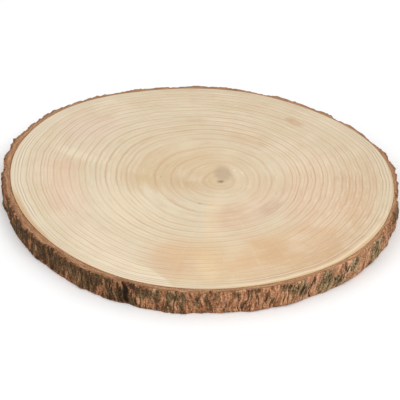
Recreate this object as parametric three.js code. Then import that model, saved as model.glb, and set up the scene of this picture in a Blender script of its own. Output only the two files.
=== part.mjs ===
// Wood slice: a live-edge disc sawn straight across a young, fast-grown trunk, with its bark on.
//
// Millimetres, +Z up. The sawn underside lies in the plane z = 0, and the origin is under the
// middle of the slice. The wood and its bark grew as one piece, so the slice is one closed solid:
// two flat sawn faces, joined by the bark's ribbed side wall, with a worn edge above and below.

import * as THREE from 'three';

// Driving dimensions, in millimetres.
const THICKNESS = 20; // between the two sawn faces
const WOOD_RADIUS = 164; // mean radius of the wood, inside the bark
const BARK_THICKNESS = 6; // mean thickness of the bark
const BARK_LEFT_EXTRA = 1.6; // the bark is this much thicker on the -X side, and thinner on +X
const EDGE_WEAR_WIDTH = 1.5; // how far the bark's worn edge is set back at each sawn face
const EDGE_WEAR_HEIGHT = 1.8; // how far up or down the wall that worn edge reaches
const PITH = { x: 16.8, y: -9 }; // the trunk's first growth, off the middle of the slice

// The trunk's outline is a circle with a few broad lobes. A share is a part of the wood's mean
// radius, and a peak is the direction of one lobe's crest, in degrees from +X towards +Y.
const TRUNK_LOBES = [
  { lobes: 2, share: 0.038, peak: 132 },
  { lobes: 3, share: 0.014, peak: 24 },
  { lobes: 4, share: 0.0045, peak: 64 },
  { lobes: 5, share: 0.0032, peak: 10 },
  { lobes: 6, share: 0.004, peak: 18 },
];

// Ribs of the bark, as waves around the trunk. Depth is in millimetres, and lean is how far a rib
// drifts sideways from the underside to the top, in degrees of the trunk.
const BARK_RIBS = [
  { waves: 9, depth: 0.5, start: 40, lean: 0 },
  { waves: 14, depth: 0.55, start: 205, lean: 1 },
  { waves: 23, depth: 0.55, start: 118, lean: 2 },
  { waves: 37, depth: 0.5, start: 301, lean: 2.5 },
];

// One deep furrow that runs the whole height of the bark.
const FURROW = { direction: 251, depth: 2.4, halfWidth: 1.6 };

// How finely the wall is divided.
const COLUMNS = 240;
const WALL_HEIGHTS = [EDGE_WEAR_HEIGHT, THICKNESS * 0.37, THICKNESS * 0.63, THICKNESS - EDGE_WEAR_HEIGHT];

// Radius of the wood, inside the bark, in one direction.
function woodRadius(direction) {
  let radius = WOOD_RADIUS;
  for (const { lobes, share, peak } of TRUNK_LOBES) {
    radius += WOOD_RADIUS * share * Math.cos(lobes * (direction - THREE.MathUtils.degToRad(peak)));
  }
  return radius;
}

// How far the bark's ribs and its furrow move the wall outwards at one direction and height.
function barkRelief(direction, height) {
  let relief = 0;
  for (const { waves, depth, start, lean } of BARK_RIBS) {
    const shift = THREE.MathUtils.degToRad(start + lean * (height / THICKNESS));
    relief += depth * Math.sin(waves * (direction - shift));
  }
  const away = THREE.MathUtils.radToDeg(direction) - FURROW.direction;
  relief -= FURROW.depth * Math.exp(-((away / FURROW.halfWidth) ** 2));
  return relief;
}

// Outer radius of the bark, before its edges wore down.
function barkRadius(direction, height) {
  const thickness = BARK_THICKNESS - BARK_LEFT_EXTRA * Math.cos(direction);
  return woodRadius(direction) + thickness + barkRelief(direction, height);
}

// One closed loop of wall points at a height, set in from the bark's full radius.
function wallLoop(height, setBack) {
  const loop = [];
  for (let column = 0; column < COLUMNS; column += 1) {
    const direction = (column / COLUMNS) * 2 * Math.PI;
    const radius = barkRadius(direction, height) - setBack;
    loop.push(new THREE.Vector3(radius * Math.cos(direction), radius * Math.sin(direction), height));
  }
  return loop;
}

// The closed solid: wall loops from the underside to the top, and a fan of triangles around the
// pith on each sawn face.
function sliceGeometry() {
  const loops = [
    wallLoop(0, EDGE_WEAR_WIDTH),
    ...WALL_HEIGHTS.map((height) => wallLoop(height, 0)),
    wallLoop(THICKNESS, EDGE_WEAR_WIDTH),
  ];
  const points = loops.flat();
  const pithBelow = points.push(new THREE.Vector3(PITH.x, PITH.y, 0)) - 1;
  const pithAbove = points.push(new THREE.Vector3(PITH.x, PITH.y, THICKNESS)) - 1;
  const topLoop = loops.length - 1;

  const triangles = [];
  for (let column = 0; column < COLUMNS; column += 1) {
    const next = (column + 1) % COLUMNS;
    for (let loop = 0; loop < topLoop; loop += 1) {
      const low = loop * COLUMNS;
      const high = low + COLUMNS;
      triangles.push(low + column, low + next, high + next);
      triangles.push(low + column, high + next, high + column);
    }
    triangles.push(pithBelow, next, column);
    triangles.push(pithAbove, topLoop * COLUMNS + column, topLoop * COLUMNS + next);
  }

  const geometry = new THREE.BufferGeometry().setFromPoints(points);
  geometry.setIndex(triangles);
  geometry.computeVertexNormals();
  return geometry;
}

// The origin goes under the middle of the slice's own extent.
const geometry = sliceGeometry();
geometry.computeBoundingBox();
const middle = geometry.boundingBox.getCenter(new THREE.Vector3());

const sawnWood = new THREE.MeshStandardMaterial({ color: '#dcc39a', roughness: 0.75, metalness: 0 });
const slice = new THREE.Mesh(geometry, sawnWood);
slice.name = 'wood_slice';
slice.position.set(-middle.x, -middle.y, 0);

const group = new THREE.Group();
group.add(slice);

export default group;
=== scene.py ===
"""The looks of the wood slice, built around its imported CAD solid.

The slice grew as one piece, so it is one closed mesh: a sawn top with its growth rings, the
bark's cut rim, the bark's furrowed wall and a sawn underside. Lengths are in metres.
"""

import math

import bpy
import numpy as np
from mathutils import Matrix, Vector, noise


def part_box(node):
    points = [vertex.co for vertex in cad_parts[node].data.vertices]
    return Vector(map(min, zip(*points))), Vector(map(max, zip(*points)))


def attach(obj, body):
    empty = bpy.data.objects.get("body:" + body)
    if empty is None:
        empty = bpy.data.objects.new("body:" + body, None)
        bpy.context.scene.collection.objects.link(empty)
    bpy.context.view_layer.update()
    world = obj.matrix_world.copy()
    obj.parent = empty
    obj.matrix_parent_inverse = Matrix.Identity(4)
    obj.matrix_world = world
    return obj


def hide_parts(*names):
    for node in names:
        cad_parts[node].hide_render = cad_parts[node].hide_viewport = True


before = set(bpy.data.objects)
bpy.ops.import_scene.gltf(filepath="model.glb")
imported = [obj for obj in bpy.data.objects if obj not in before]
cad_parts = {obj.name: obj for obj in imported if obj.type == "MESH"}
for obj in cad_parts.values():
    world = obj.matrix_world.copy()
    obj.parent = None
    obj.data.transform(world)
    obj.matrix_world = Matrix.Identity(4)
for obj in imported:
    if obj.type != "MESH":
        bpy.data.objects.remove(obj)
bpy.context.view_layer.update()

MM = 0.001

# The CAD solid: where the sawn faces are, and the outline that part.mjs gives the trunk.
FACE_LOW, FACE_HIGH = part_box("wood_slice")
UNDERSIDE = FACE_LOW.z
TOP = FACE_HIGH.z
THICKNESS = TOP - UNDERSIDE
WOOD_RADIUS = 164 * MM
BARK_THICKNESS = 6 * MM
BARK_LEFT_EXTRA = 1.6 * MM
# (lobes, share of the wood's radius, direction of one crest in degrees)
TRUNK_LOBES = ((2, 0.038, 132), (3, 0.014, 24), (4, 0.0045, 64), (5, 0.0032, 10), (6, 0.004, 18))
# (waves round the trunk, depth, start in degrees, lean over the thickness in degrees)
BARK_RIBS = (
    (9, 0.5 * MM, 40, 0),
    (14, 0.55 * MM, 205, 1),
    (23, 0.55 * MM, 118, 2),
    (37, 0.5 * MM, 301, 2.5),
)
FURROW_DIRECTION = 251
FURROW_DEPTH = 2.4 * MM
FURROW_HALF_WIDTH = 1.6

# The wood's growth: the width of each year's ring from the pith to the bark, in millimetres.
PITH = (16.8 * MM, -9 * MM)
RING_WIDTHS = (15, 13.5, 12.5, 12, 14, 7.5, 7.5, 8, 7.5, 8, 4, 7, 6.5, 6, 5, 5.5, 6, 5, 6, 6.5)
YEARS = len(RING_WIDTHS)
# How the rings bulge off the straight line from pith to bark, as shares of that line:
# (waves round the trunk, direction of a crest, bulge at mid growth, late less early bulge)
RING_BULGES = ((1, 141, 0.015, 0.0), (1, 153, 0.0, 0.044), (2, 81, 0.0215, 0.0), (3, 14, 0.0, 0.017))

# The mesh: columns round the bark, and loops down its wall.
BARK_COLUMNS = 1280
WALL_LOOPS = 30
EDGE_LOOPS = 5
RIM_LOOPS = 4


# ---------------------------------------------------------------- shape of the trunk


def smoothstep(low, high, value):
    """0 below low, 1 above high, and a smooth climb between."""
    share = np.clip((value - low) / (high - low), 0, 1)
    return share * share * (3 - 2 * share)


def near(direction, degrees, half_width):
    """1 in one direction of the trunk, falling off to either side."""
    away = (np.degrees(direction) - degrees + 180) % 360 - 180
    return np.exp(-((away / half_width) ** 2))


def wood_radius(direction):
    """Radius of the wood, inside the bark."""
    radius = np.full_like(direction, WOOD_RADIUS)
    for lobes, share, peak in TRUNK_LOBES:
        radius += WOOD_RADIUS * share * np.cos(lobes * (direction - math.radians(peak)))
    return radius


def wood_edge(direction):
    """Radius at which the wood meets its bark. The bark is thinnest at the back left."""
    out = 1.7 * near(direction, 127, 17) - 0.7 * near(direction, 153, 9)
    return wood_radius(direction) + out * MM


def broad_relief(direction, height):
    """The ribs and the one deep furrow that the CAD bark has too."""
    relief = np.zeros_like(direction)
    for waves, depth, start, lean in BARK_RIBS:
        shift = np.radians(start + lean * height / THICKNESS)
        relief += depth * np.sin(waves * (direction - shift))
    away = np.degrees(direction) - FURROW_DIRECTION
    return relief - FURROW_DEPTH * np.exp(-((away / FURROW_HALF_WIDTH) ** 2))


def bark_radius(direction):
    """Outer radius of the bark before its relief."""
    return wood_radius(direction) + BARK_THICKNESS - BARK_LEFT_EXTRA * np.cos(direction)


def directions(columns):
    """Evenly spaced directions round the trunk, in radians from +X towards +Y."""
    return np.arange(columns) / columns * 2 * math.pi


def slice_middle():
    """Middle of the wall's extent, which the CAD puts over the origin."""
    around = directions(BARK_COLUMNS)
    radius = bark_radius(around) + broad_relief(around, np.full_like(around, THICKNESS / 2))
    x = radius * np.cos(around)
    y = radius * np.sin(around)
    return (x.max() + x.min()) / 2, (y.max() + y.min()) / 2


MIDDLE_X, MIDDLE_Y = slice_middle()


def ring_loop(growth, columns):
    """Points at one stage of growth, from 0 at the pith to 1 at the bark's inner side."""
    around = directions(columns)
    share = np.full_like(around, growth)
    swell = 4 * growth * (1 - growth)
    for waves, crest, mid, late in RING_BULGES:
        bulge = mid + late * (2 * growth - 1)
        share += swell * bulge * np.cos(waves * (around - math.radians(crest)))
    radius = wood_edge(around)
    x = PITH[0] + share * (radius * np.cos(around) - PITH[0])
    y = PITH[1] + share * (radius * np.sin(around) - PITH[1])
    return x, y


# ---------------------------------------------------------------- relief of the bark


def sampled(function, points):
    """One noise value for each row of an array of points."""
    return np.array([function(Vector(point)) for point in points])


def on_trunk(direction, height, width, stretch):
    """Noise coordinates on the trunk's skin, in cells of a width, stretched along the grain."""
    radius = WOOD_RADIUS + BARK_THICKNESS
    x = radius * np.cos(direction) / width
    y = radius * np.sin(direction) / width
    return np.stack([x, y, height / (width * stretch)], axis=1)


def grain_lean(direction):
    """Sideways drift of the bark's grain as it climbs: a little to the left at the front, and
    strongly to the right on the slice's front right."""
    return 0.14 * near(direction, 256, 13) - 0.42 * near(direction, 318, 30)


def plate_borders(points):
    """How far each point is from the border of the bark plate it is on."""
    border = np.empty(len(points))
    for index, point in enumerate(points):
        distances, _ = noise.voronoi(Vector(point))
        border[index] = distances[1] - distances[0]
    return border


def bark_skin(direction, height):
    """Fine relief of the bark and its colour fields, at each direction and height."""
    lean = grain_lean(direction) * (height - THICKNESS / 2) / WOOD_RADIUS
    straight = direction + lean
    waver = sampled(noise.noise, on_trunk(straight, height, 7 * MM, 1.3))
    straight = straight + waver * 1.8 * MM / WOOD_RADIUS

    def soft(width, stretch, shift):
        """Soft noise along the grain, in cells of a width in millimetres."""
        return sampled(noise.noise, on_trunk(straight, height, width * MM, stretch) + shift)

    border = plate_borders(on_trunk(straight, height, 13 * MM, 2.0) + 31.7)
    streak = soft(3.6, 3.8, 0.0) + 0.6 * soft(1.7, 3.6, 3.3)
    split = soft(4.2, 3.2, 17.9)
    fibre = soft(1.6, 4.0, 11.3)
    patch = soft(13, 1.0, 5.1)

    # The sides of the slice. The lower edge is broken least at the front.
    left = near(direction, 212, 36)
    right = near(direction, 314, 20)
    front = near(direction, 262, 26)
    whole_edge = near(direction, 272, 22)
    low = smoothstep(0.5 * MM, (2.5 - 1.1 * whole_edge) * MM, height + waver * 1.2 * MM)
    high = smoothstep(-0.4 * MM, 1.0 * MM, THICKNESS - height + waver * 1.2 * MM)

    # Dark outer bark is left in patches, the most of it on the left, and elsewhere it has worn
    # down to the inner bark. Cracks run between the fibres, and one fills the furrow.
    kept = 0.1 + 0.9 * left + 0.22 * right + 0.08 * front + 0.35 * near(direction, 120, 70)
    kept += 0.3 * near(direction, 244, 11)
    dark = smoothstep(-0.25, 0.25, streak + patch * 1.1 + kept - 0.35) * low * high
    line = 1 - smoothstep(0.01, 0.08, np.abs(split))
    notch = near(straight, FURROW_DIRECTION - 0.8, 0.7) * (0.75 + 0.9 * streak)
    crack = np.maximum(line * smoothstep(-0.1, 0.4, patch), notch) * low * high

    # Plates with sunken borders, then the finer relief, then flakes that overlap like shingles
    # at the back left.
    relief = 1.2 * MM * (smoothstep(0, 0.5, border) - 0.8) + patch * 0.4 * MM
    relief += (dark * 0.3 - crack * 1.1 + fibre * 0.5 + streak * 0.5) * MM
    flakes = (np.degrees(direction) / 3.4 + 1.3 * patch) % 1.0
    relief += near(direction, 138, 42) * (0.5 - flakes) * 1.9 * MM
    relief += broad_relief(direction, height)
    relief *= 0.3 + 0.7 * np.maximum(low, 0.8 * whole_edge)
    fields = {
        "dark": dark,
        "crack": crack,
        "fibre": fibre,
        "streak": streak,
        # Painted shade: the left wall and a narrow band round the furrow are drawn darker, and the right
        # wall is drawn lighter as painted light.
        "shade": 1.1 * left - 1.2 * right + 1.3 * near(direction, FURROW_DIRECTION - 1, 4),
        "lichen": np.maximum(right, 0.55 * near(direction, 268, 18)),
        "grain": on_trunk(straight, height, 1.0, 1.0),
    }
    return relief, fields


# ---------------------------------------------------------------- the mesh


class Shell:
    """A closed mesh built loop after loop, from the middle of the top round to the underside's.
    Fields are the values that each point carries for the materials."""

    fields = ("year", "ring_width", "across", "cut", "dark", "crack", "streak", "shade", "lichen")

    def __init__(self):
        self.points = []
        self.values = {name: [] for name in self.fields}
        self.grain = []
        self.faces = []
        self.corners = []
        self.slots = []
        self.count = 0

    def loop(self, x, y, z, along=0.0, **values):
        """Adds one loop of points, and returns what join() needs to know of it. Along is how far
        it lies across the bark's profile. Of the other values, only the fields are kept."""
        columns = len(x)
        self.points.append(np.stack([x - MIDDLE_X, y - MIDDLE_Y, np.broadcast_to(z, columns)], axis=1))
        for name in self.fields:
            self.values[name].append(np.broadcast_to(values.get(name, 0.0), columns))
        self.grain.append(np.broadcast_to(values.get("grain", 0.0), (columns, 3)))
        first = self.count
        self.count += columns
        return {"first": first, "columns": columns, "along": along, "x": x, "y": y}

    def join(self, one, two, slot, place):
        """Faces between two loops. The second may have the same number of points, or half or
        twice as many, and either may be a single point."""
        n_one = one["columns"]
        n_two = two["columns"]
        steps = max(n_one, n_two)
        for step in range(steps):
            following = (step + 1) % steps
            a, b = (step * n_one // steps, following * n_one // steps)
            c, d = (step * n_two // steps, following * n_two // steps)
            corners = [(one, a, step), (two, c, step), (two, d, step + 1), (one, b, step + 1)]
            if a == b:
                corners.pop(3)
            if c == d:
                corners.pop(2)
            self.faces.append([ring["first"] + index for ring, index, _ in corners])
            self.corners.extend(place(ring, index, at / steps) for ring, index, at in corners)
            self.slots.append(slot)

    def mesh(self, name):
        """The finished mesh, with its fields and its map."""
        mesh = bpy.data.meshes.new(name)
        mesh.from_pydata(np.concatenate(self.points).tolist(), [], self.faces)
        mesh.polygons.foreach_set("material_index", self.slots)
        mesh.polygons.foreach_set("use_smooth", [True] * len(self.faces))
        for field in self.fields:
            attribute = mesh.attributes.new(field, "FLOAT", "POINT")
            attribute.data.foreach_set("value", np.concatenate(self.values[field]).astype(np.float32))
        attribute = mesh.attributes.new("grain", "FLOAT_VECTOR", "POINT")
        attribute.data.foreach_set("vector", np.concatenate(self.grain).astype(np.float32).ravel())
        layer = mesh.uv_layers.new(name="OFBake")
        layer.data.foreach_set("uv", np.array(self.corners, dtype=np.float32).ravel())
        mesh.validate()
        return mesh


# The map that the surface is unrolled onto: the two sawn faces as discs, the bark in six strips.
TOP_DISC = (0.305, 0.695, 0.298)
UNDER_DISC = (0.805, 0.195, 0.188)
STRIPS = 6
STRIP_LENGTH = 0.575
STRIP_WIDTH = 0.118
STRIP_STEP = 0.127
STRIP_MARGIN = 0.006
STANDING_STRIPS = (0.612, 0.41)
LARGEST_RADIUS = WOOD_RADIUS * 1.07
BARK_PROFILE = THICKNESS + 2 * BARK_THICKNESS


def on_disc(disc):
    """Map coordinates of a sawn face."""
    centre_u, centre_v, size = disc

    def place(ring, index, _):
        u = centre_u + ring["x"][index] / LARGEST_RADIUS * size
        v = centre_v + ring["y"][index] / LARGEST_RADIUS * size
        return u, v

    return place


def on_strip(ring, _, turn):
    """How far round the trunk a corner of the bark is, and how far across the bark's profile."""
    return turn, ring["along"]


def strip_corners(corners):
    """Turns each bark corner's (turn, along) into its place on a strip. Three strips lie under
    the top disc and three stand beside it. A quad is on the strip that its middle is on."""
    placed = []
    for quad in range(0, len(corners), 4):
        middle = sum(turn for turn, _ in corners[quad : quad + 4]) / 4
        strip = int(middle * STRIPS)
        for turn, along in corners[quad : quad + 4]:
            length = STRIP_MARGIN + (turn * STRIPS - strip) * STRIP_LENGTH
            across = STRIP_MARGIN + along / BARK_PROFILE * STRIP_WIDTH + (strip % 3) * STRIP_STEP
            if strip < 3:
                placed.append((length, across))
            else:
                placed.append((STANDING_STRIPS[0] + across, STANDING_STRIPS[1] + length))
    return placed


def ring_years(loops_per_year):
    """Stages of growth at which the faces' loops lie, the year at each, and the ring's width."""
    edges = np.concatenate([[0], np.cumsum(RING_WIDTHS)]) / sum(RING_WIDTHS)
    years = np.arange(YEARS * loops_per_year + 1) / loops_per_year
    growths = np.interp(years, np.arange(YEARS + 1), edges)
    widths = np.interp(years, np.arange(YEARS) + 0.5, RING_WIDTHS)
    return growths, years, widths


def face_columns(year):
    """How many points a face's loop has: one at the pith, and twice as many twice over just
    inside the bark."""
    if year == 0:
        return 1
    if year < YEARS - 0.5:
        return BARK_COLUMNS // 4
    if year < YEARS:
        return BARK_COLUMNS // 2
    return BARK_COLUMNS


def sawn_face(shell, height_at, stages):
    """Loops of one sawn face, at its stages of growth in the order given."""
    return [
        shell.loop(*ring_loop(growth, face_columns(year)), height_at(growth), year=year, ring_width=width)
        for growth, year, width in stages
    ]


def edge_wear(direction, side):
    """How far the bark's worn edge is set back from the wall, and how far up or down it reaches.
    The lower edge, side -1, has broken away further on the right."""
    level = np.zeros_like(direction)
    uneven = sampled(noise.noise, on_trunk(direction, level, 12 * MM, 1) + 9.4 * side)
    uneven += 0.6 * sampled(noise.noise, on_trunk(direction, level, 3.5 * MM, 1) + 4.7 * side)
    broken = near(direction, 325, 45) if side < 0 else 0
    return (1.3 + 0.8 * uneven + 1.6 * broken) * MM, (1.5 + 0.9 * uneven + 1.8 * broken) * MM


def bark_loops(shell):
    """Loops of the bark: its cut rim on top, the worn edge, the wall, and the same again below."""
    around = directions(BARK_COLUMNS)
    wood = wood_edge(around)
    worn_above = edge_wear(around, 1)
    worn_below = edge_wear(around, -1)
    edge_length = 2 * MM
    wall_length = THICKNESS - 2 * edge_length
    loops = []

    def add(height, share, set_back, along, cut):
        """One loop at a height. Share runs from the wood, 0, to the bark's outside, 1."""
        relief, fields = bark_skin(around, height)
        outer = bark_radius(around) + relief - set_back
        radius = wood + share * (outer - wood)
        inward = np.sign(THICKNESS / 2 - height)
        rough = 0.3 * MM * np.abs(fields["fibre"]) * (cut == 1)
        z = UNDERSIDE + height + inward * rough
        x = radius * np.cos(around)
        y = radius * np.sin(around)
        cover = cut * smoothstep(1.3, 0.6, share)
        loops.append(shell.loop(x, y, z, along, year=YEARS, across=share, cut=cover, **fields))

    def edge(step, worn, above):
        """A step of the worn edge, from 0 at the sawn face to EDGE_LOOPS at the wall."""
        set_back, reach = worn
        angle = step / EDGE_LOOPS * math.pi / 2
        drop = reach * (1 - math.cos(angle))
        height = THICKNESS - drop if above else drop
        share = step / EDGE_LOOPS
        along = BARK_THICKNESS + share * edge_length
        if not above:
            along = BARK_PROFILE - along
        add(height, 1.0, set_back * (1 - math.sin(angle)), along, 1 - 2 * share)

    for step in range(1, RIM_LOOPS + 1):
        share = step / RIM_LOOPS
        add(np.full_like(around, THICKNESS), share, worn_above[0], share * BARK_THICKNESS, 1.0)
    for step in range(1, EDGE_LOOPS + 1):
        edge(step, worn_above, True)
    for step in range(1, WALL_LOOPS):
        share = step / WALL_LOOPS
        height = (THICKNESS - worn_above[1]) * (1 - share) + worn_below[1] * share
        add(height, 1.0, 0.0, BARK_THICKNESS + edge_length + share * wall_length, 0.0)
    for step in range(EDGE_LOOPS, 0, -1):
        edge(step, worn_below, False)
    for step in range(RIM_LOOPS, 0, -1):
        share = step / RIM_LOOPS
        add(np.zeros_like(around), share, worn_below[0], BARK_PROFILE - share * BARK_THICKNESS, 1.0)
    return loops


def slice_mesh():
    """The whole slice as one closed mesh."""
    shell = Shell()
    growths, years, widths = ring_years(2)
    stages = list(zip(growths, years, widths))
    near_pith = [(growth, growth / growths[1] * years[1], widths[0]) for growth in (0.006, 0.013, 0.022)]
    outward = stages[:1] + near_pith + stages[1:]

    def dent(growth):
        """The soft pith dries into a small dent."""
        return 0.7 * MM * math.exp(-((growth / 0.012) ** 2))

    top = sawn_face(shell, lambda growth: TOP - dent(growth), outward)
    bark_ring = bark_loops(shell)
    under = sawn_face(shell, lambda growth: UNDERSIDE + dent(growth), outward[::-1])
    under[0]["along"] = BARK_PROFILE

    for one, two in zip(top, top[1:]):
        shell.join(one, two, 0, on_disc(TOP_DISC))
    before_bark = len(shell.corners)
    skin = [top[-1]] + bark_ring + [under[0]]
    for one, two in zip(skin, skin[1:]):
        shell.join(one, two, 1, on_strip)
    shell.corners[before_bark:] = strip_corners(shell.corners[before_bark:])
    for one, two in zip(under, under[1:]):
        shell.join(one, two, 2, on_disc(UNDER_DISC))
    return shell.mesh("live_edge_slice")


# ---------------------------------------------------------------- materials


STAGE_LIGHT = 1.13  # how much brighter than plain white the stage's light makes a white surface


def linear(colour):
    """A colour as it looks on the stage, 0 to 255, in the linear light that shaders use."""
    light = [((value / 255 + 0.055) / 1.055) ** 2.4 / STAGE_LIGHT for value in colour]
    return (*light, 1.0)


class Nodes:
    """A material, and short names for the shader nodes that it is made of."""

    def __init__(self, name):
        self.material = bpy.data.materials.new(name)
        self.material.use_nodes = True
        self.tree = self.material.node_tree
        self.shader = self.tree.nodes["Principled BSDF"]

    def add(self, kind, **settings):
        """A new node of a kind."""
        node = self.tree.nodes.new(kind)
        for name, value in settings.items():
            setattr(node, name, value)
        return node

    def feed(self, socket, value):
        """Links an output to a socket, or sets the socket to a plain value."""
        if isinstance(value, bpy.types.NodeSocket):
            self.tree.links.new(value, socket)
        else:
            socket.default_value = value

    def attribute(self, name, output="Fac"):
        """One of the mesh's fields."""
        return self.add("ShaderNodeAttribute", attribute_name=name).outputs[output]

    def place(self):
        """Where a point is on the slice, in metres."""
        return self.add("ShaderNodeTexCoord").outputs["Object"]

    def math(self, operation, *values):
        """A sum, product or other operation on plain numbers."""
        node = self.add("ShaderNodeMath", operation=operation)
        for socket, value in zip(node.inputs, values):
            self.feed(socket, value)
        return node.outputs[0]

    def vector(self, operation, *values):
        """An operation on vectors."""
        node = self.add("ShaderNodeVectorMath", operation=operation)
        for socket, value in zip(node.inputs, values):
            self.feed(socket, value)
        return node.outputs["Value" if operation == "LENGTH" else "Vector"]

    def scaled(self, vector, factor):
        """A vector times a number."""
        node = self.add("ShaderNodeVectorMath", operation="SCALE")
        self.feed(node.inputs["Vector"], vector)
        self.feed(node.inputs["Scale"], factor)
        return node.outputs["Vector"]

    def upright(self, height):
        """A vector straight up."""
        node = self.add("ShaderNodeCombineXYZ")
        self.feed(node.inputs["Z"], height)
        return node.outputs["Vector"]

    def noise(self, place, scale, detail=3, roughness=0.55, stretch=(1, 1, 1), shift=0, output="Fac"):
        """Soft noise, about 0.5 on average. The shift picks another part of the same noise, and
        a stretch below 1 draws the noise out along that axis."""
        offset = (shift, shift * 0.7, shift * 0.3)
        node = self.add("ShaderNodeTexNoise")
        self.feed(node.inputs["Vector"], self.vector("MULTIPLY_ADD", place, stretch, offset))
        self.feed(node.inputs["Scale"], scale)
        self.feed(node.inputs["Detail"], detail)
        self.feed(node.inputs["Roughness"], roughness)
        return node.outputs[output]

    def swayed(self, value, noise, reach):
        """A value moved up and down by a noise."""
        return self.math("MULTIPLY_ADD", self.math("SUBTRACT", noise, 0.5), reach, value)

    def bent(self, place, scale, reach):
        """The place moved sideways by soft noise, so that shapes laid on it lose their outline."""
        away = self.vector("SUBTRACT", self.noise(place, scale, output="Color"), (0.5, 0.5, 0.5))
        return self.vector("MULTIPLY_ADD", away, (reach * 2, reach * 2, 0.0), place)

    def step(self, value, low, high):
        """A smooth climb from 0 at low to 1 at high. Low may be the larger of the two."""
        node = self.add("ShaderNodeMapRange", interpolation_type="SMOOTHSTEP")
        self.feed(node.inputs["Value"], value)
        self.feed(node.inputs["From Min"], low)
        self.feed(node.inputs["From Max"], high)
        return node.outputs["Result"]

    def mix(self, share, one, two):
        """The first colour where the share is 0, and the second where it is 1."""
        node = self.add("ShaderNodeMix", data_type="RGBA")
        self.feed(node.inputs[0], share)
        self.feed(node.inputs[6], one)
        self.feed(node.inputs[7], two)
        return node.outputs[2]

    def laid(self, under, colour, share, strength=1.0):
        """A colour laid over what is under it, where the share is above 0."""
        return self.mix(self.math("MULTIPLY", share, strength), under, linear(colour))

    def ramp(self, value, stops):
        """A run of colours. Each stop is a value from 0 to 1 and its colour."""
        node = self.add("ShaderNodeValToRGB")
        self.feed(node.inputs["Fac"], value)
        elements = node.color_ramp.elements
        while len(elements) < len(stops):
            elements.new(1.0)
        for element, (position, colour) in zip(elements, stops):
            element.position = position
            element.color = linear(colour)
        return node.outputs["Color"]

    def spot(self, place, centre, size, turn, softness):
        """1 inside an oval of the face, fading to 0 at its edge. Millimetres and degrees."""
        node = self.add("ShaderNodeMapping", vector_type="TEXTURE")
        self.feed(node.inputs["Vector"], place)
        x = centre[0] * MM - MIDDLE_X
        y = centre[1] * MM - MIDDLE_Y
        node.inputs["Location"].default_value = (x, y, 0)
        node.inputs["Rotation"].default_value = (0, 0, math.radians(turn))
        node.inputs["Scale"].default_value = (size[0] * MM, size[1] * MM, 1.0)
        flat = self.vector("MULTIPLY", node.outputs["Vector"], (1.0, 1.0, 0.0))
        return self.step(self.vector("LENGTH", flat), 1.0, 1.0 - softness)

    def tinted(self, under, place, tints):
        """Lays the ovals of a list of tints on a colour, one after the other."""
        for colour, strength, centre, size, turn, softness in tints:
            under = self.laid(under, colour, self.spot(place, centre, size, turn, softness), strength)
        return under

    def bump(self, height, distance, strength):
        """Relief finer than the mesh."""
        node = self.add("ShaderNodeBump")
        self.feed(node.inputs["Height"], height)
        node.inputs["Distance"].default_value = distance
        node.inputs["Strength"].default_value = strength
        self.feed(self.shader.inputs["Normal"], node.outputs["Normal"])


# Broad tints of the sawn wood, in the order they are laid on each other. Each is an oval:
# (colour, strength, centre, half lengths, turn, softness), in millimetres and degrees.
TINTS = (
    ((215, 190, 153), 0.95, (-10, 16), (80, 66), 10, 0.8),
    ((218, 194, 160), 0.8, (46, -20), (30, 40), 0, 0.9),
    ((226, 204, 176), 0.9, (92, 15), (44, 66), 12, 0.8),
    ((224, 196, 166), 0.9, (96, -36), (50, 66), 8, 0.8),
    ((213, 182, 148), 0.9, (134, -30), (28, 76), 4, 0.9),
    ((210, 187, 156), 0.8, (150, 4), (16, 64), 6, 0.9),
    ((219, 187, 154), 0.9, (108, -74), (66, 34), 52, 0.8),
    ((218, 184, 146), 0.9, (66, -110), (74, 36), 26, 0.8),
    ((209, 174, 138), 0.9, (104, -116), (40, 26), 46, 0.9),
    ((221, 187, 147), 0.9, (20, -134), (70, 24), 8, 0.8),
    ((219, 187, 151), 0.95, (-18, -120), (42, 34), -20, 0.7),
    ((215, 182, 145), 0.9, (-20, -132), (30, 24), 0, 0.7),
    ((219, 190, 160), 0.95, (40, -62), (32, 54), -24, 0.9),
    ((228, 211, 181), 0.9, (-60, -54), (66, 44), -45, 0.8),
    ((229, 215, 189), 0.9, (-79, 122), (26, 44), 32, 0.9),
    ((221, 199, 177), 0.95, (-99, 84), (42, 40), 30, 0.8),
    ((224, 197, 170), 0.95, (-118, -20), (24, 84), 14, 0.8),
    ((220, 190, 162), 0.8, (-113, 16), (18, 26), 0, 0.9),
    ((230, 214, 186), 0.9, (-104, 37), (44, 11), -33, 0.8),
    ((230, 214, 186), 0.9, (-82, -104), (46, 26), -42, 0.8),
    ((218, 187, 148), 0.9, (20, -152), (84, 18), 2, 0.9),
    ((213, 181, 143), 0.9, (84, -134), (60, 20), 30, 0.9),
    ((211, 182, 147), 0.8, (128, -88), (64, 22), 56, 0.9),
    ((227, 205, 170), 0.9, (15, -70), (12, 56), -3, 0.7),
    ((229, 203, 160), 0.9, (6, -132), (14, 32), 4, 0.7),
    ((218, 184, 138), 0.55, (18, -116), (62, 34), 0, 0.9),
    ((206, 170, 132), 0.6, (108, -118), (56, 30), 48, 0.9),
    ((212, 176, 142), 0.5, (28, -70), (22, 26), 0, 0.9),
    ((208, 170, 126), 0.6, (60, -122), (40, 32), 20, 0.9),
    ((214, 183, 148), 0.4, (-22, -8), (70, 26), 4, 0.9),
    ((214, 189, 157), 0.9, (42, 70), (40, 22), -32, 0.9),
    ((229, 212, 188), 0.7, (76, 54), (48, 12), 30, 0.9),
)
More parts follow.
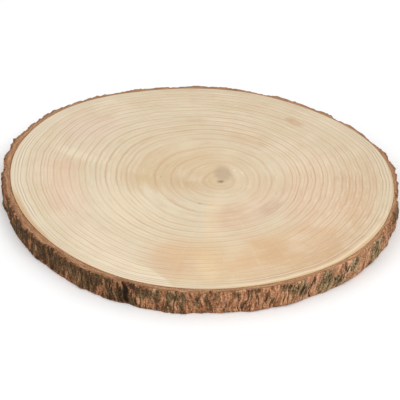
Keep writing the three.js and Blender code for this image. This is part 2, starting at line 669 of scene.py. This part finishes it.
# Small marks of the same kind: stains, flecks and little knots.
MARKS = (
    ((210, 184, 145), 0.95, (-48, 0), (32, 32), 0, 0.9),
    ((206, 180, 144), 0.95, (-14, -12), (24, 18), 0, 0.9),
    ((208, 182, 144), 0.7, (14, -12), (24, 24), 0, 0.9),
    ((202, 172, 139), 0.9, (86, 95), (14, 10), -45, 0.8),
    ((196, 165, 130), 0.6, (81, 98), (9, 4), -40, 0.9),
    ((206, 178, 152), 0.9, (55, -55), (13, 26), -38, 0.9),
    ((190, 152, 112), 0.5, (56, 54), (10, 3), -50, 0.9),
    ((190, 152, 112), 0.45, (59, -53), (13, 3), 40, 0.9),
    ((238, 226, 200), 0.8, (30, 8), (2.4, 3.6), 30, 0.9),
    ((236, 222, 192), 0.6, (37, 3), (2, 3), 0, 0.9),
    ((150, 122, 88), 0.7, (0, -46), (3.4, 1.5), 0, 0.9),
    ((150, 118, 80), 0.6, (-33, -2.5), (1.3, 1.3), 0, 0.9),
)
# The stain round the pith, and the pith itself.
HEART = (
    ((186, 163, 134), 0.75, (19.5, 4), (10.5, 17), 6, 0.6),
    ((122, 104, 80), 0.8, (17, -9.5), (4.2, 3.6), 0, 0.9),
)


def tinted_wood(nodes, place, shift):
    """The wood's own colour, with its broad tints and small marks."""
    blotch = nodes.noise(place, 30, 4, shift=shift + 3)
    colour = nodes.tinted(linear((219, 203, 174)), nodes.bent(place, 9, 0.016), TINTS)
    colour = nodes.tinted(colour, nodes.bent(place, 60, 0.004), MARKS)
    colour = nodes.laid(colour, (212, 185, 150), nodes.step(blotch, 0.5, 0.75), 0.4)
    colour = nodes.laid(colour, (231, 214, 187), nodes.step(blotch, 0.5, 0.3), 0.35)

    # Cream wood at the front left, which stops at a sharp curved border.
    cream = nodes.spot(nodes.bent(place, 60, 0.002), (-89, -153), (77, 40), -24, 0.05)
    cream = nodes.math("MULTIPLY", cream, nodes.spot(place, (-45, -145), (80, 70), 0, 0.6))
    return nodes.laid(colour, (229, 213, 185), cream)


def ring_lines(nodes, colour, year, ringing, fading):
    """Each year ends in a thin darker line, and some years have a weaker line half way. The
    lines are softest in the widest years, next to the pith."""
    firm = nodes.math("MULTIPLY_ADD", nodes.step(year, 2.0, 8.0), 0.45, 0.55)
    for late, least in ((0.0, 0.55), (0.46, 0.0)):
        shifted = nodes.math("ADD", ringing, late)
        left = nodes.math("SUBTRACT", 1.0, nodes.math("FRACT", shifted))
        line = nodes.math("MULTIPLY", nodes.step(left, 0.28, 0.06), nodes.step(left, -0.06, 0.06))
        own = nodes.add("ShaderNodeTexWhiteNoise", noise_dimensions="1D")
        nodes.feed(own.inputs["W"], nodes.math("FLOOR", shifted))
        share = nodes.math("MULTIPLY_ADD", own.outputs["Value"], 0.4, least)
        share = nodes.math("MULTIPLY", nodes.math("MULTIPLY", share, fading), firm)
        colour = nodes.laid(colour, (198, 159, 122), line, share)
    return colour


def youngest_wood(nodes, colour, place, ringing, patch):
    """The last years under the bark: paler wood on the left, fine lines all the way round, and
    thin bands next to the bark."""
    left_half = nodes.spot(place, (-150, 20), (120, 170), 0, 0.5)
    young = nodes.math("MULTIPLY", nodes.step(ringing, YEARS - 2.2, YEARS - 1.2), left_half)
    colour = nodes.laid(colour, (228, 215, 190), young, 0.5)

    grey = (164, 136, 108)
    bright = (243, 231, 207)
    lines = ((1.3, 0.1, grey), (1.12, 0.1, bright), (0.9, 0.1, grey), (0.5, 0.07, grey))
    for age, reach, line_colour in lines:
        off = nodes.math("ABSOLUTE", nodes.math("SUBTRACT", ringing, YEARS - age))
        fine = nodes.math("MULTIPLY", nodes.step(off, reach, 0.0), nodes.step(patch, 0.2, 0.7))
        colour = nodes.laid(colour, line_colour, fine, 0.7)

    front_right = nodes.spot(place, (84, -122), (110, 58), 34, 0.6)
    front_left = nodes.spot(place, (-148, -72), (34, 64), 27, 0.5)
    bands = (
        (front_right, 0.66, 0.5, (240, 222, 190), 0.6),
        (front_right, 0.35, 0.1, (214, 180, 134), 1.0),
        (front_left, 0.5, 0.3, (206, 174, 132), 1.0),
    )
    for side, oldest, full, band_colour, strength in bands:
        band = nodes.math("MULTIPLY", nodes.step(ringing, YEARS - oldest, YEARS - full), side)
        colour = nodes.laid(colour, band_colour, band, strength)
    return colour


def sawn_wood(name, shift):
    """Pale wood with its rings. The shift makes each face's fine grain its own."""
    nodes = Nodes(name)
    place = nodes.place()
    year = nodes.attribute("year")
    patch = nodes.noise(place, 13, 2, shift=shift + 8)
    pores = nodes.noise(place, 1100, 2, 0.6, shift=shift + 5)
    colour = tinted_wood(nodes, place, shift)

    # The rings wander a few millimetres in and out.
    broad = nodes.noise(place, 14, 3, shift=shift)
    ripple = nodes.noise(place, 60, 2, shift=shift + 1)
    wander = nodes.swayed(nodes.swayed(0.0, ripple, 1.0), broad, 6.0)
    ringing = nodes.math("ADD", year, nodes.math("DIVIDE", wander, nodes.attribute("ring_width")))

    # Unit vector from the pith, for grain that runs along the rings or across them.
    from_pith = nodes.vector("SUBTRACT", place, (PITH[0] - MIDDLE_X, PITH[1] - MIDDLE_Y, 0.0))
    outward = nodes.vector("NORMALIZE", nodes.vector("MULTIPLY", from_pith, (1.0, 1.0, 0.0)))

    # The grain is boldest at the back and on the right, and faintest at the front.
    bold = nodes.math("MULTIPLY_ADD", nodes.spot(place, (10, 125), (160, 80), 0, 0.9), 0.3, 0.4)
    bold = nodes.math("MULTIPLY_ADD", nodes.spot(place, (112, -30), (80, 100), 0, 0.9), 0.25, bold)
    bold = nodes.math("MULTIPLY_ADD", nodes.spot(place, (20, -120), (130, 70), 0, 0.9), -0.2, bold)

    # Fine streaks along the rings, of no year in particular.
    turning = nodes.scaled(outward, year)
    along_rings = nodes.vector("MULTIPLY_ADD", turning, (0.5, 0.5, 0.0), nodes.upright(ringing))
    streak = nodes.noise(along_rings, 1.0, 3, 0.7, stretch=(1, 1, 3.6), shift=shift)
    colour = nodes.laid(colour, (200, 164, 128), nodes.step(streak, 0.5, 0.75), bold)
    colour = nodes.laid(colour, (236, 222, 196), nodes.step(streak, 0.5, 0.25), bold)

    fading = nodes.math("MULTIPLY_ADD", nodes.step(patch, 0.34, 0.6), 0.45, bold)
    colour = ring_lines(nodes, colour, year, ringing, fading)
    colour = youngest_wood(nodes, colour, place, ringing, patch)

    # Pores, and fine rays from the pith to the bark.
    colour = nodes.laid(colour, (186, 154, 120), nodes.step(pores, 0.5, 0.75), 0.22)
    colour = nodes.laid(colour, (240, 228, 206), nodes.step(pores, 0.5, 0.25), 0.18)
    ray = nodes.noise(outward, 42, 3, 0.7, shift=shift)
    colour = nodes.laid(colour, (232, 216, 188), nodes.step(ray, 0.55, 0.75), 0.18)
    colour = nodes.laid(colour, (208, 180, 144), nodes.step(ray, 0.45, 0.25), 0.14)
    colour = nodes.tinted(colour, nodes.bent(place, 60, 0.002), HEART)

    nodes.feed(nodes.shader.inputs["Base Color"], colour)
    nodes.shader.inputs["Specular IOR Level"].default_value = 0.3
    nodes.feed(nodes.shader.inputs["Roughness"], nodes.math("MULTIPLY_ADD", pores, 0.2, 0.62))
    nodes.bump(nodes.math("SUBTRACT", pores, streak), 0.05 * MM, 0.5)
    return nodes.material


# Colours of the bark, from the hollows between its fibres, 0, to their lit backs, 1.
INNER_BARK = ((0.1, (66, 40, 24)), (0.35, (130, 88, 60)), (0.55, (170, 119, 85)), (0.85, (220, 170, 132)))
OUTER_BARK = ((0.1, (42, 30, 18)), (0.35, (85, 61, 40)), (0.55, (115, 86, 57)), (0.85, (158, 122, 84)))
MOSSY_BARK = ((0.15, (58, 46, 30)), (0.4, (97, 80, 54)), (0.6, (132, 110, 79)), (0.85, (206, 178, 140)))
CUT_BARK = ((0.3, (108, 72, 49)), (0.46, (164, 120, 87)), (0.58, (188, 144, 107)), (0.72, (219, 181, 143)))


def cut_rim(nodes, place, grit):
    """The bark's own fine layers on its cut rim, darker next to the wood and at the outside, with a little
    painted shade on the left and painted light on the right.
    """
    across = nodes.attribute("across")
    climb = nodes.upright(nodes.math("MULTIPLY", across, 5.0))
    along_layers = nodes.vector("MULTIPLY_ADD", place, (70.0, 70.0, 0.0), climb)
    layers = nodes.noise(along_layers, 1.0, 3, 0.6)
    tone = nodes.math("MULTIPLY_ADD", layers, 0.6, nodes.math("MULTIPLY_ADD", grit, 0.65, -0.12))
    # Painted shade: the rim is drawn a little darker on the left and lighter on the right.
    tone = nodes.math("MULTIPLY_ADD", nodes.attribute("shade"), -0.03, tone)
    rim = nodes.ramp(tone, CUT_BARK)
    rim = nodes.laid(rim, (128, 86, 58), nodes.step(across, 0.2, 0.02))
    outside = nodes.swayed(across, grit, 0.8)
    return nodes.laid(rim, (104, 70, 46), nodes.step(outside, 0.7, 1.05), 0.75)


def bark(name):
    """Fibrous brown bark with dark olive plates, cracks laid nearly black as painted shadow, and its
    lighter cut rim.
    """
    nodes = Nodes(name)
    place = nodes.place()
    grain = nodes.attribute("grain", "Vector")
    fibre = nodes.noise(grain, 560, 4, 0.65, stretch=(1, 1, 0.22))
    grit = nodes.noise(place, 900, 3, 0.65, shift=4)
    broad = nodes.noise(grain, 90, 3, stretch=(1, 1, 0.4), shift=2)
    split = nodes.noise(grain, 210, 2, stretch=(1, 1, 0.12), shift=7)

    # Lit fibres are light and the hollows between them dark.
    tone = nodes.swayed(0.5, fibre, 1.5)
    tone = nodes.swayed(tone, grit, 1.2)
    tone = nodes.swayed(tone, broad, 0.6)
    tone = nodes.math("MULTIPLY_ADD", nodes.attribute("streak"), -0.1, tone)
    # Painted shade: the left wall and the band round the furrow are drawn darker, and the right wall
    # lighter as painted light.
    tone = nodes.math("MULTIPLY_ADD", nodes.attribute("shade"), -0.12, tone)
    inner = nodes.ramp(tone, INNER_BARK)
    outer = nodes.mix(nodes.attribute("lichen"), nodes.ramp(tone, OUTER_BARK), nodes.ramp(tone, MOSSY_BARK))
    dark = nodes.swayed(nodes.attribute("dark"), fibre, 1.2)
    dark = nodes.swayed(dark, grit, -1.5)
    colour = nodes.mix(nodes.step(dark, 0.2, 0.9), inner, outer)

    # Thin cracks where the bark is coarse, and the wide ones that are in the mesh too, all laid nearly
    # black as painted shadow.
    cut = nodes.attribute("cut")
    off_split = nodes.math("ABSOLUTE", nodes.math("SUBTRACT", split, 0.5))
    thin = nodes.math("MULTIPLY", nodes.step(off_split, 0.036, 0.008), nodes.step(broad, 0.45, 0.55))
    thin = nodes.math("MULTIPLY", thin, nodes.step(cut, 0.3, 0.0))
    crack = nodes.swayed(nodes.attribute("crack"), grit, 0.9)
    crack = nodes.math("MAXIMUM", thin, nodes.step(crack, 0.3, 0.9))
    # Painted shadow: the cracks are laid nearly black.
    colour = nodes.laid(colour, (38, 27, 18), crack, 0.85)

    on_rim = nodes.step(nodes.swayed(cut, fibre, 1.6), 0.25, 0.6)
    colour = nodes.mix(on_rim, colour, cut_rim(nodes, place, grit))

    nodes.feed(nodes.shader.inputs["Base Color"], colour)
    nodes.shader.inputs["Specular IOR Level"].default_value = 0.1
    nodes.feed(nodes.shader.inputs["Roughness"], nodes.math("MULTIPLY_ADD", grit, 0.15, 0.8))
    nodes.bump(nodes.math("SUBTRACT", tone, crack), 0.5 * MM, 0.7)
    return nodes.material


def plain(name, colour, roughness):
    """A plain material, for the floor."""
    nodes = Nodes(name)
    nodes.shader.inputs["Base Color"].default_value = colour
    nodes.shader.inputs["Roughness"].default_value = roughness
    return nodes.material


# ---------------------------------------------------------------- stage


def add_camera():
    """Looks along +Y and down on the slice, from about seven of its radii away."""
    data = bpy.data.cameras.new("camera")
    camera = bpy.data.objects.new("camera", data)
    bpy.context.scene.collection.objects.link(camera)
    elevation = math.radians(30.7)
    distance = 7 * WOOD_RADIUS
    data.sensor_width = 36
    data.lens = 120.9
    centre = Vector((-MIDDLE_X, -MIDDLE_Y, TOP))
    camera.location = centre + distance * Vector((0, -math.cos(elevation), math.sin(elevation)))
    tilt = math.radians(1.05)
    camera.rotation_euler = (math.pi / 2 - elevation - tilt, 0, 0)
    bpy.context.scene.camera = camera


def add_light(name, location, size, power):
    """A square soft light that faces the slice."""
    data = bpy.data.lights.new(name, "AREA")
    data.shape = "SQUARE"
    data.size = size
    data.energy = power
    light = bpy.data.objects.new(name, data)
    bpy.context.scene.collection.objects.link(light)
    light.location = location
    light.rotation_euler = (-Vector(location)).to_track_quat("-Z", "Y").to_euler()


def add_stage():
    """A pale floor under soft, nearly even light."""
    bpy.ops.mesh.primitive_plane_add(size=30, location=(0, 0, UNDERSIDE))
    floor = bpy.context.object
    floor.name = "floor"
    floor.data.materials.append(plain("pale_floor", (0.9, 0.9, 0.9, 1), 0.9))
    world = bpy.data.worlds.new("studio")
    world.use_nodes = True
    world.node_tree.nodes["Background"].inputs["Color"].default_value = (1, 1, 1, 1)
    world.node_tree.nodes["Background"].inputs["Strength"].default_value = 0.9
    bpy.context.scene.world = world
    add_light("key", (0.9, -1.2, 1.6), 1.2, 14)
    add_light("fill", (-1.2, -0.9, 1.1), 1.4, 7)
    bpy.context.scene.view_settings.view_transform = "Standard"


add_camera()
add_stage()

slice_object = bpy.data.objects.new("live_edge_slice", slice_mesh())
bpy.context.scene.collection.objects.link(slice_object)
slice_object.data.materials.append(sawn_wood("sawn_top", 0.0))
slice_object.data.materials.append(bark("bark"))
slice_object.data.materials.append(sawn_wood("sawn_underside", 20.0))
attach(slice_object, "root")
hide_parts("wood_slice")
